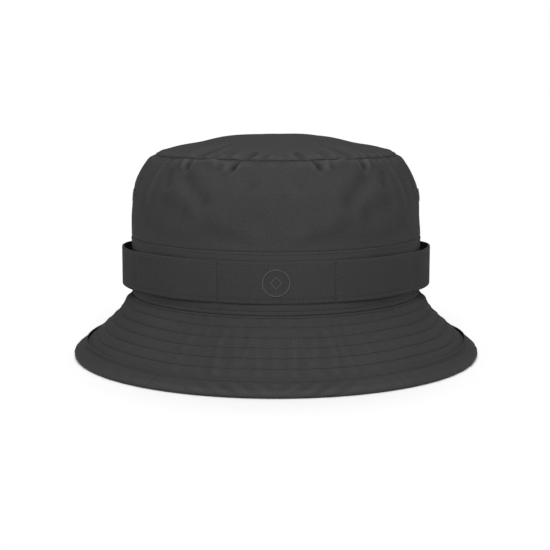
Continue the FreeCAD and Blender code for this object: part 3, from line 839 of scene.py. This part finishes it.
class Shader(Nodes):
    """A material with a colour, a bump and plain numbers."""

    def __init__(self, name):
        self.material = bpy.data.materials.new(name)
        self.material.use_nodes = True
        super().__init__(self.material.node_tree)
        self.surface = self.tree.nodes["Principled BSDF"]

    def relief(self):
        """How far the cloth stands up here, as each mesh says, or how dark a stitch's end is; the
        materials paint highlight and shade from it.
        """
        return self.node("ShaderNodeAttribute", attribute_name="relief").outputs["Fac"]

    def along_and_across(self):
        """The two distances of the weave map."""
        place = self.node("ShaderNodeUVMap", uv_map="weave").outputs[0]
        return self.node("ShaderNodeSeparateXYZ", {0: place}).outputs

    def rough(self, value):
        """Joins a roughness that changes over the surface."""
        self.tree.links.new(value, self.surface.inputs["Roughness"])

    def finish(self, colour, height, distance, gloss):
        """Joins colour and bump to the surface, with plain numbers on its other sockets."""
        self.tree.links.new(colour, self.surface.inputs["Base Color"])
        if height is not None:
            inputs = {"Height": height, "Distance": distance, "Strength": 1.0}
            bump = self.node("ShaderNodeBump", inputs)
            self.tree.links.new(bump.outputs["Normal"], self.surface.inputs["Normal"])
        for key, value in gloss.items():
            self.surface.inputs[key].default_value = value
        return self.material


def woven(name, colour, rib=1.45, thread=0.36, rib_depth=0.5, rough=0.75, sheen=0.0,
          wear_and_painted_shading=0.45):
    """Plain woven cloth with a grid of heavier threads, as ripstop has. Sizes in millimetres.

    The last number says how much lighter the cloth's high places are painted, as painted highlight,
    and how much darker its creases and hollows are painted, as painted shade."""
    shader = Shader(name)
    apart = shader.along_and_across()
    lines, fine = [], []
    for axis in (0, 1):
        cell = shader.math("FRACT", shader.math("MULTIPLY", apart[axis], 1000 / rib))
        centred = shader.math("ABSOLUTE", shader.math("SUBTRACT", cell, 0.5))
        lines.append(shader.ramp(centred, 0.34, 0.47))
        turn = shader.math("MULTIPLY", apart[axis], 1000 * math.pi / thread)
        fine.append(shader.math("SINE", turn))
    grid = shader.math("MAXIMUM", lines[0], lines[1])
    plain = shader.math("MULTIPLY", fine[0], fine[1])
    cloud = shader.noise(22.0)
    speckle = shader.noise(900.0, 1.0)
    height = shader.math("MULTIPLY_ADD", grid, rib_depth, shader.math("MULTIPLY", plain, 0.3))
    height = shader.math("MULTIPLY_ADD", speckle, 0.5, height)
    value = shader.math("MULTIPLY_ADD", grid, -0.13, 1.0)
    value = shader.math("MULTIPLY_ADD", plain, 0.08, value)
    value = shader.varied(shader.varied(value, cloud, 0.22), speckle, 0.35)
    # Painted highlight on the cloth's high places and painted shade in its creases and hollows,
    # from the mesh's relief.
    tint = shader.tinted(colour, shader.math("MULTIPLY_ADD", shader.relief(), wear_and_painted_shading, value))
    shader.rough(shader.ramp(cloud, 0.2, 0.8, rough - 0.05, rough + 0.07))
    gloss = {"Specular IOR Level": 0.1, "Sheen Weight": sheen, "Sheen Roughness": 0.45}
    return shader.finish(tint, height, 0.00009, gloss)


def twill(name, colour, pitch=0.9):
    """Soft twill tape: slanting ribs."""
    shader = Shader(name)
    apart = shader.along_and_across()
    slant = shader.math("ADD", apart[0], apart[1])
    rib = shader.math("SINE", shader.math("MULTIPLY", slant, 2000 * math.pi / pitch))
    cross = shader.math("SINE", shader.math("MULTIPLY", apart[0], 4000 * math.pi / pitch))
    cloud = shader.noise(30.0)
    height = shader.math("MULTIPLY_ADD", cross, 0.25, rib)
    value = shader.math("MULTIPLY_ADD", rib, 0.13, 1.0)
    tint = shader.tinted(colour, shader.varied(value, cloud, 0.3))
    return shader.finish(tint, height, 0.0001, {"Roughness": 0.85, "Sheen Weight": 0.4})


def thread_material(name, colour):
    """Twisted polyester thread, with a slight shine, and painted shade on its ends where it dips
    into the cloth.
    """
    shader = Shader(name)
    twist = shader.noise(2600.0, 2.0)
    value = shader.ramp(twist, 0.3, 0.7, 0.75, 1.3)
    # Painted shade on each stitch's ends, where it dips into its hole in the cloth.
    tint = shader.tinted(colour, shader.math("MULTIPLY_ADD", shader.relief(), 0.5, value))
    return shader.finish(tint, twist, 0.00012, {"Roughness": 0.6, "Specular IOR Level": 0.2})


def eyelet_metal():
    """Black-nickel plate, rubbed a little brighter where it is worn."""
    shader = Shader("black_nickel")
    wear_and_painted_shading = shader.ramp(shader.noise(420.0, 4.0), 0.45, 0.75, 1.0, 2.0)
    scratch = shader.noise(1500.0, 3.0)
    shader.rough(shader.ramp(scratch, 0.3, 0.7, 0.24, 0.42))
    tint = shader.tinted((0.055, 0.055, 0.058), wear_and_painted_shading)
    return shader.finish(tint, scratch, 0.00002, {"Metallic": 1.0})


def floor_material():
    """A plain pale studio floor."""
    shader = Shader("studio_floor")
    value = shader.math("MULTIPLY_ADD", shader.noise(3.0), 0.01, 0.99)
    return shader.finish(shader.tinted((0.82, 0.82, 0.82), value), None, 0, {"Roughness": 0.9})


# A spacing so wide that no heavier thread shows.
NO_RIB = 10000.0
CHARCOAL = (0.034, 0.034, 0.0342)
WHITE = (0.5, 0.5, 0.485)
# Each cloth paints highlight on its high places and shade in its creases and hollows; the brim and
# the binding a little less.
OUTER = woven("charcoal_ripstop", CHARCOAL)
BRIM_CLOTH = woven("charcoal_ripstop_brim", CHARCOAL, wear_and_painted_shading=0.22)
BAND = woven("charcoal_ripstop_band", (0.0315, 0.0315, 0.0317))
BINDING = woven("charcoal_ripstop_bias", (0.0325, 0.0325, 0.0327), wear_and_painted_shading=0.3)
LINING_CLOTH = woven("lining_taffeta", (0.026, 0.026, 0.028), NO_RIB, 0.3, 0.0, 0.5, sheen=0.1)
INTERFACING = woven("interfacing", (0.5, 0.5, 0.48), NO_RIB, 0.8, 0.0, 0.9)
LABEL = woven("label_satin", WHITE, NO_RIB, 0.42, 0.0, 0.45, sheen=0.1)
TAPE = twill("sweatband_twill", (0.024, 0.024, 0.026))
THREAD = thread_material("charcoal_thread", (0.044, 0.044, 0.0442))
EMBROIDERY = thread_material("embroidery_thread", (0.049, 0.049, 0.0493))

# ---------------------------------------------------------------- the crown

# The radius of the hole in the cloth under an eyelet's flange.
EYELET_HOLE = 3.0 * MM


def eyelet_cells(angles, ups):
    """Which cells of a wall's grid are kept: all but those under an eyelet."""
    angle, up = np.meshgrid((angles[1:] + angles[:-1]) / 2, (ups[1:] + ups[:-1]) / 2)
    kept = np.ones(angle.shape, bool)
    for place in EYELET_ANGLES:
        centre = crown_base(math.radians(place), crown_up(EYELET_HEIGHT))
        kept &= np.linalg.norm(crown_base(angle, up) - centre, axis=-1) > EYELET_HOLE
    return kept


def make_side(name, face, low, thickness, material, slot, step, node):
    """The front and the back half of a wall round the crown, with holes for the eyelets."""
    ups = up_steps(low, CROWN_UP - 0.1 * MM, step)
    for half, start in HALVES:
        angles = turns(start, start + 180.0, step / MM * 0.58)
        kept = eyelet_cells(angles, ups)
        label = f"{name}_{half}"
        piece = cloth_piece(label, face, angles, ups, thickness, material, kept=kept)
        finished(piece, "hat", slot, f"{node}_{half}")


# Distances in from the tip's seam: close together by the seam, wider apart in the middle.
TIP_RINGS = MM * np.concatenate(
    [[0.0, 0.15, 0.4, 0.7], np.arange(1.3, 40, 1.3), np.arange(40, 77, 2.4), [78.5]]
)


def make_tip(name, out, thickness, material, slot, node):
    """An oval top panel. Its middle is one small flat face."""
    angle, up = np.meshgrid(round_turns(1.0), TIP_RINGS)
    outside = tip_cloth(angle, up, out)
    inside = tip_cloth(angle, up, out - thickness)
    flat = np.concatenate([outside[..., :2], outside[:, :1, :2]], 1)
    vertices, faces, uvs = between(outside, inside, flat, closed=True)
    count = angle.shape[1]
    top = np.arange(angle.size - count, angle.size)
    wall = (faces % angle.size >= angle.size - count).all(1)
    faces, uvs = faces[~wall], uvs[~wall]
    corners = np.concatenate([faces.ravel(), top, top[::-1] + angle.size])
    sizes = np.concatenate([np.full(len(faces), 4), [count, count]])
    centre = vertices[top][:, :2]
    uvs = np.concatenate([uvs.reshape(-1, 2), centre, centre[::-1]])
    relief = sided_relief(outside, inside, True)
    piece = new_piece(name, material, vertices, corners, sizes, uvs, relief)
    finished(piece, "hat", slot, node)


def make_crown():
    """The outer cloth of the crown and its three rows of thread."""
    waist = crown_up(WAIST_SEAM / MM)
    low = waist + 0.05 * MM
    make_side("side_cloth", crown_wall, low, CLOTH, OUTER, "outer_cloth", 1.2 * MM, "crown_side")
    ups = up_steps(0.0, waist - 0.05 * MM, 0.7 * MM)
    angles = round_turns(1.0)
    piece = cloth_piece("base_cloth", base_wall, angles, ups, CLOTH, OUTER, closed=True)
    finished(piece, "hat", "outer_cloth", "crown_base_band")
    make_tip("tip_cloth", 0.0, CLOTH, OUTER, "outer_cloth", "crown_tip")
    rows = (
        ("tip", tip_cloth, TIP_ROW, 0.3 * MM),
        ("waist", base_wall, waist - WAIST_ROW, 0.1 * MM),
        ("base", base_wall, BASE_ROW, 0.1 * MM),
    )
    for name, surface, up, out in rows:
        piece = stitches([ring_path(surface, up, out=out)], f"{name}_thread", THREAD)
        finished(piece, "hat", "thread", f"{name}_stitching")


def make_lining():
    """The lining, and the sweatband with its two rows of thread."""
    make_side("lining_side", lining_wall, 1.5 * MM, LINING, LINING_CLOTH, "lining_cloth",
              2.4 * MM, "lining_side")  # fmt: skip
    make_tip("lining_top", -CLOTH - 0.5 * MM, LINING, LINING_CLOTH, "lining_cloth", "lining_tip")
    ups = up_steps(0.6 * MM, 32.5 * MM, 2.0 * MM)
    angles = round_turns(1.2)
    piece = cloth_piece("sweatband_tape", tape_face, angles, ups, SWEATBAND_CLOTH, TAPE,
                        closed=True)  # fmt: skip
    finished(piece, "hat", "sweatband_cloth", "sweatband")
    rows = [flipped(ring_path(tape_face, up, out=-SWEATBAND_CLOTH)) for up in TAPE_ROWS]
    finished(stitches(rows, "sweatband_thread", THREAD), "hat", "thread")


# ---------------------------------------------------------------- the hatband


def make_hatband():
    """Front and back panels, two straps, and all their thread."""
    ups = up_steps(0.0, BAND_HIGH - BAND_LOW, 1.1 * MM)
    first, last = TACKS[0], TACKS[-1]
    spans = (
        ("front", -first, first),
        ("right", first, last),
        ("back", last, 360 - last),
        ("left", -last, -first),
    )
    rows, bars = [], []
    high = BAND_HIGH - BAND_LOW - BAND_ROW
    for side, start, end in spans:
        angles = turns(start, end, 0.75)
        piece = cloth_piece(f"band_{side}", band_face, angles, ups, BAND_CLOTH, BAND)
        finished(piece, "hat", "hatband_cloth", f"hatband_{side}")
        rows += [ring_path(band_face, up, start + ROW_IN, end - ROW_IN) for up in (BAND_ROW, high)]
        if side in ("left", "right"):
            tacks = [start + TACK_IN, end - TACK_IN, *(math.copysign(t, start) for t in TACKS[1:3])]
            bars += [rise_path(band_face, tack, 2.2 * MM, high - 0.3 * MM) for tack in tacks]
    finished(stitches(rows, "band_thread", THREAD), "hat", "thread", "hatband_stitching")
    finished(stitches(bars, "tack_thread", THREAD), "hat", "thread", "hatband_tacks")


# A quarter of the distance between two ridges of satin stitch, how high over the cloth it
# starts and how deep in the cloth it ends, and the emblem's two sizes.
SATIN_STEP = 0.11 * MM
EMBLEM_LIFT, EMBLEM_ROOT = 0.02 * MM, 0.3 * MM
RING_RADIUS = 7.75 * MM
LOZENGE_REACH = 3.4 * MM


def satin_piece(name, centre_line, width, node):
    """Raised satin stitch round a closed line of (x, height) on the hatband."""
    line = np.vstack([centre_line, centre_line[:1]])
    run = np.concatenate([[0], np.cumsum(np.linalg.norm(np.diff(line, axis=0), axis=1))])
    places = np.linspace(0, run[-1], int(run[-1] / SATIN_STEP), endpoint=False)
    x, z = (np.interp(places, run, line[:, axis]) for axis in (0, 1))
    ahead = unit(np.stack([np.gradient(x), np.gradient(z)], -1))
    section = np.linspace(0, math.pi, 9)[:, None]
    ridge = 0.85 + 0.15 * np.cos(2 * math.pi * places / (4 * SATIN_STEP))
    reach = width / 2 * np.cos(section) * (1 + 0.06 * ridge)
    rise = EMBLEM_RISE * np.sin(section) ** 0.7 * ridge
    angle = np.arcsin((x - ahead[:, 1] * reach) / HALF_WIDTH)
    up = z + ahead[:, 0] * reach - BAND_LOW
    outside = band_face(angle, up, rise + EMBLEM_LIFT)
    inside = band_face(angle, up, -EMBLEM_ROOT)
    flat = np.stack(np.broadcast_arrays(places, reach), -1)
    flat = np.concatenate([flat, flat[:, :1]], 1)
    piece = new_piece(name, EMBROIDERY, *tidied(*between(outside, inside, flat, closed=True)))
    finished(piece, "hat", "hatband_cloth", node)


def make_emblem():
    """A plain ring with a lozenge in it, embroidered on the hatband's front."""
    middle = (BAND_LOW + BAND_HIGH) / 2
    turn = np.linspace(0, 2 * math.pi, 240, endpoint=False)
    ring = np.stack([RING_RADIUS * np.cos(turn), middle + RING_RADIUS * np.sin(turn)], -1)
    satin_piece("emblem_ring_thread", ring, 0.85 * MM, "emblem_ring")
    corners = np.array([(0, 1), (-1, 0), (0, -1), (1, 0)]) * LOZENGE_REACH + (0, middle)
    share = np.linspace(0, 1, 24, endpoint=False)[:, None]
    ends = zip(corners, np.roll(corners, -1, 0))
    lozenge = np.concatenate([a + (b - a) * share for a, b in ends])
    satin_piece("emblem_lozenge_thread", lozenge, 0.75 * MM, "emblem_lozenge")


# ---------------------------------------------------------------- the brim


def make_layer(name, face, reach, thickness, material, slot, steps, node, turn=0.0):
    """A ring-shaped cloth of the brim, as a front and a back half."""
    along, around = steps
    ups = up_steps(*reach, along)
    for half, start in HALVES:
        angles = turns(start, start + 180.0, around)
        piece = cloth_piece(f"{name}_{half}", face, angles, ups, thickness, material, turn=turn)
        nodes = [node, f"{node}_front"] if half == "front" else [f"{node}_back"]
        bent(piece, half, slot, *nodes)


def make_brim():
    """Both cloths, the stiffener between them, the binding and all the rows of thread."""
    seam = BRIM_UP - 0.05 * MM
    layers = (
        ("brim_cloth", brim_cloth, (3.6 * MM, seam), CLOTH, BRIM_CLOTH,
         "outer_cloth", (0.95 * MM, 0.42), "brim_top"),
        ("stiffener", stiffener_face, (4.2 * MM, seam - 3 * MM), STIFFENER, INTERFACING,
         "interfacing", (4 * MM, 2.0), "brim_stiffener"),
        ("under_cloth", brim_under, (4.0 * MM, seam - 1.5 * MM), CLOTH, OUTER,
         "outer_cloth", (1.3 * MM, 0.75), "brim_under"),
        ("binding", binding_face, (0.0, BINDING_UP), BINDING_CLOTH, BINDING,
         "binding_cloth", (0.8 * MM, 0.6), "brim_binding", math.pi / 4),
    )  # fmt: skip
    for layer in layers:
        make_layer(*layer)
    for half, start in HALVES:
        ends = (start + 0.2, start + 179.8)
        rows, edges = [], []
        for down in (SEAM_ROW, *BRIM_ROWS):
            up = BRIM_UP - down * MM
            rows.append(ring_path(brim_cloth, up, *ends, out=0.2 * MM))
            if down > SEAM_ROW:
                rows.append(flipped(ring_path(brim_under, up, *ends, out=-CLOTH)))
        for up in (BINDING_ROWS[0], BINDING_UP - BINDING_ROWS[1]):
            edges.append(ring_path(binding_face, up, *ends, out=0.16 * MM))
        for name, paths in (("brim", rows), ("binding", edges)):
            nodes = [f"{name}_stitching_{half}"]
            if half == "front":
                nodes.append(f"{name}_stitching")
            bent(stitches(paths, f"{name}_thread_{half}", THREAD), half, "thread", *nodes)


# ---------------------------------------------------------------- labels and eyelets


def label_face(angle, up, out=0.0):
    """The care label hanging from its upper edge: here the angle is the distance across."""
    low, high = LABEL_BOX
    height = low.z + up
    hang = (high.z - height) / (high.z - low.z)
    curl = 0.9 * MM * np.sin(2.1 * hang) * np.cos(angle * 90) - 0.7 * MM * hang
    depth = (low.y + high.y) / 2 + curl - out
    return np.stack(np.broadcast_arrays(-angle, depth, height), -1)


def flat_piece(name, face, half_width, height, thickness, material):
    """A small flat cloth from a surface of (distance across, distance up)."""
    x, up = np.meshgrid(np.linspace(-half_width, half_width, 28), np.linspace(0, height, 32))
    outside = face(x, up, thickness / 2)
    inside = face(x, up, -thickness / 2)
    return new_piece(name, material, *tidied(*between(outside, inside, np.stack([x, up], -1))))


def tab_face(angle, up, out=0.0):
    """The size tab, flat on the sweatband: here the angle is the distance across."""
    low, high = TAB_BOX
    turn = math.pi - np.arcsin(((low.x + high.x) / 2 + angle) / HALF_WIDTH)
    depth = -SWEATBAND_CLOTH - 0.3 * MM
    inner = tape_face(turn, low.z - BRIM_SEAM + up, depth)
    outer = tape_face(turn, low.z - BRIM_SEAM + up, depth + 1 * MM)
    return inner - (outer - inner) * (out / MM)


def make_labels():
    """The care label and the size tab, both blank."""
    low, high = LABEL_BOX
    wide, tall = high.x - low.x, high.z - low.z
    label = flat_piece("care_label_cloth", label_face, wide / 2, tall, LABEL_CLOTH, LABEL)
    finished(label, "care_label", "label_cloth", "care_label")
    low, high = TAB_BOX
    wide, tall = high.x - low.x, high.z - low.z
    tab = flat_piece("size_tab_cloth", tab_face, wide / 2, tall, TAB_CLOTH, LABEL)
    finished(tab, "hat", "label_cloth", "size_tab")


def finish_eyelets():
    """The eyelets and washers keep their CAD shape and get their metal."""
    metal = eyelet_metal()
    for name in ("vent_eyelets", "eyelet_washers"):
        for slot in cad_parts[name].material_slots:
            slot.material = metal


# ---------------------------------------------------------------- floor, light and camera

# The room's own light, and what it has more in front and above.
ROOM_LIGHT, FRONT_LIGHT, TOP_LIGHT = 0.03, 0.28, 0.38
FLOOR_REACH, FLOOR_DROP = 6.0, 0.3 * MM
SUN_ANGLE = 40
# The camera's focal length and sensor in millimetres, its place, and its tilt down in degrees.
LENS, SENSOR = 82.1, 36.0
CAMERA_PLACE = (-0.00065, -0.820, 0.1687)
CAMERA_TILT = 8.27


def make_stage():
    """A pale floor, and the white room round it."""
    mesh = bpy.data.meshes.new("floor")
    signs = ((-1, -1), (1, -1), (1, 1), (-1, 1))
    corners = [(x * FLOOR_REACH, y * FLOOR_REACH, 0) for x, y in signs]
    mesh.from_pydata(corners, [], [(0, 1, 2, 3)])
    mesh.materials.append(floor_material())
    floor = bpy.data.objects.new("floor", mesh)
    floor.location.z = -FLOOR_DROP
    bpy.context.scene.collection.objects.link(floor)
    studio_world()


def studio_world():
    """A white room: brightest in front and above, dimmer at the sides and behind."""
    world = bpy.data.worlds.new("studio")
    world.use_nodes = True
    bpy.context.scene.world = world
    nodes = Nodes(world.node_tree)
    direction = nodes.node("ShaderNodeTexCoord").outputs["Generated"]
    split = nodes.node("ShaderNodeSeparateXYZ", {0: direction}).outputs
    front = nodes.ramp(split["Y"], -0.2, -1.0, 0.0, FRONT_LIGHT)
    above = nodes.ramp(split["Z"], 0.1, 1.0, 0.0, TOP_LIGHT)
    light = nodes.math("ADD", nodes.math("ADD", front, above), ROOM_LIGHT)
    seen = nodes.node("ShaderNodeLightPath").outputs["Is Camera Ray"]
    light = nodes.node("ShaderNodeMix", {"Factor": seen, "A": light, "B": 1.0}).outputs[0]
    background = nodes.tree.nodes["Background"]
    background.inputs["Color"].default_value = (1, 1, 1, 1)
    nodes.tree.links.new(light, background.inputs["Strength"])


def make_lights():
    """A soft key light high in front, and a weaker one high behind: degrees from overhead."""
    for name, energy, lean in (("key_light", 3.15, 43), ("back_light", 0.8, -24)):
        light = bpy.data.lights.new(name, "SUN")
        light.energy = energy
        light.angle = math.radians(SUN_ANGLE)
        lamp = bpy.data.objects.new(name, light)
        lamp.rotation_euler = (math.radians(lean), 0, 0)
        bpy.context.scene.collection.objects.link(lamp)


def make_camera():
    """The photographer's camera: low in front of the hat, tipped down a little."""
    camera = bpy.data.cameras.new("camera")
    camera.lens = LENS
    camera.sensor_width = SENSOR
    view = bpy.data.objects.new("camera", camera)
    view.location = CAMERA_PLACE
    view.rotation_euler = (math.radians(90 - CAMERA_TILT), 0, 0)
    bpy.context.scene.collection.objects.link(view)
    bpy.context.scene.camera = view


make_camera()
make_lights()
make_stage()
make_crown()
make_hatband()
make_emblem()
make_brim()
make_lining()
make_labels()
finish_eyelets()
bpy.context.scene.view_settings.view_transform = "Standard"
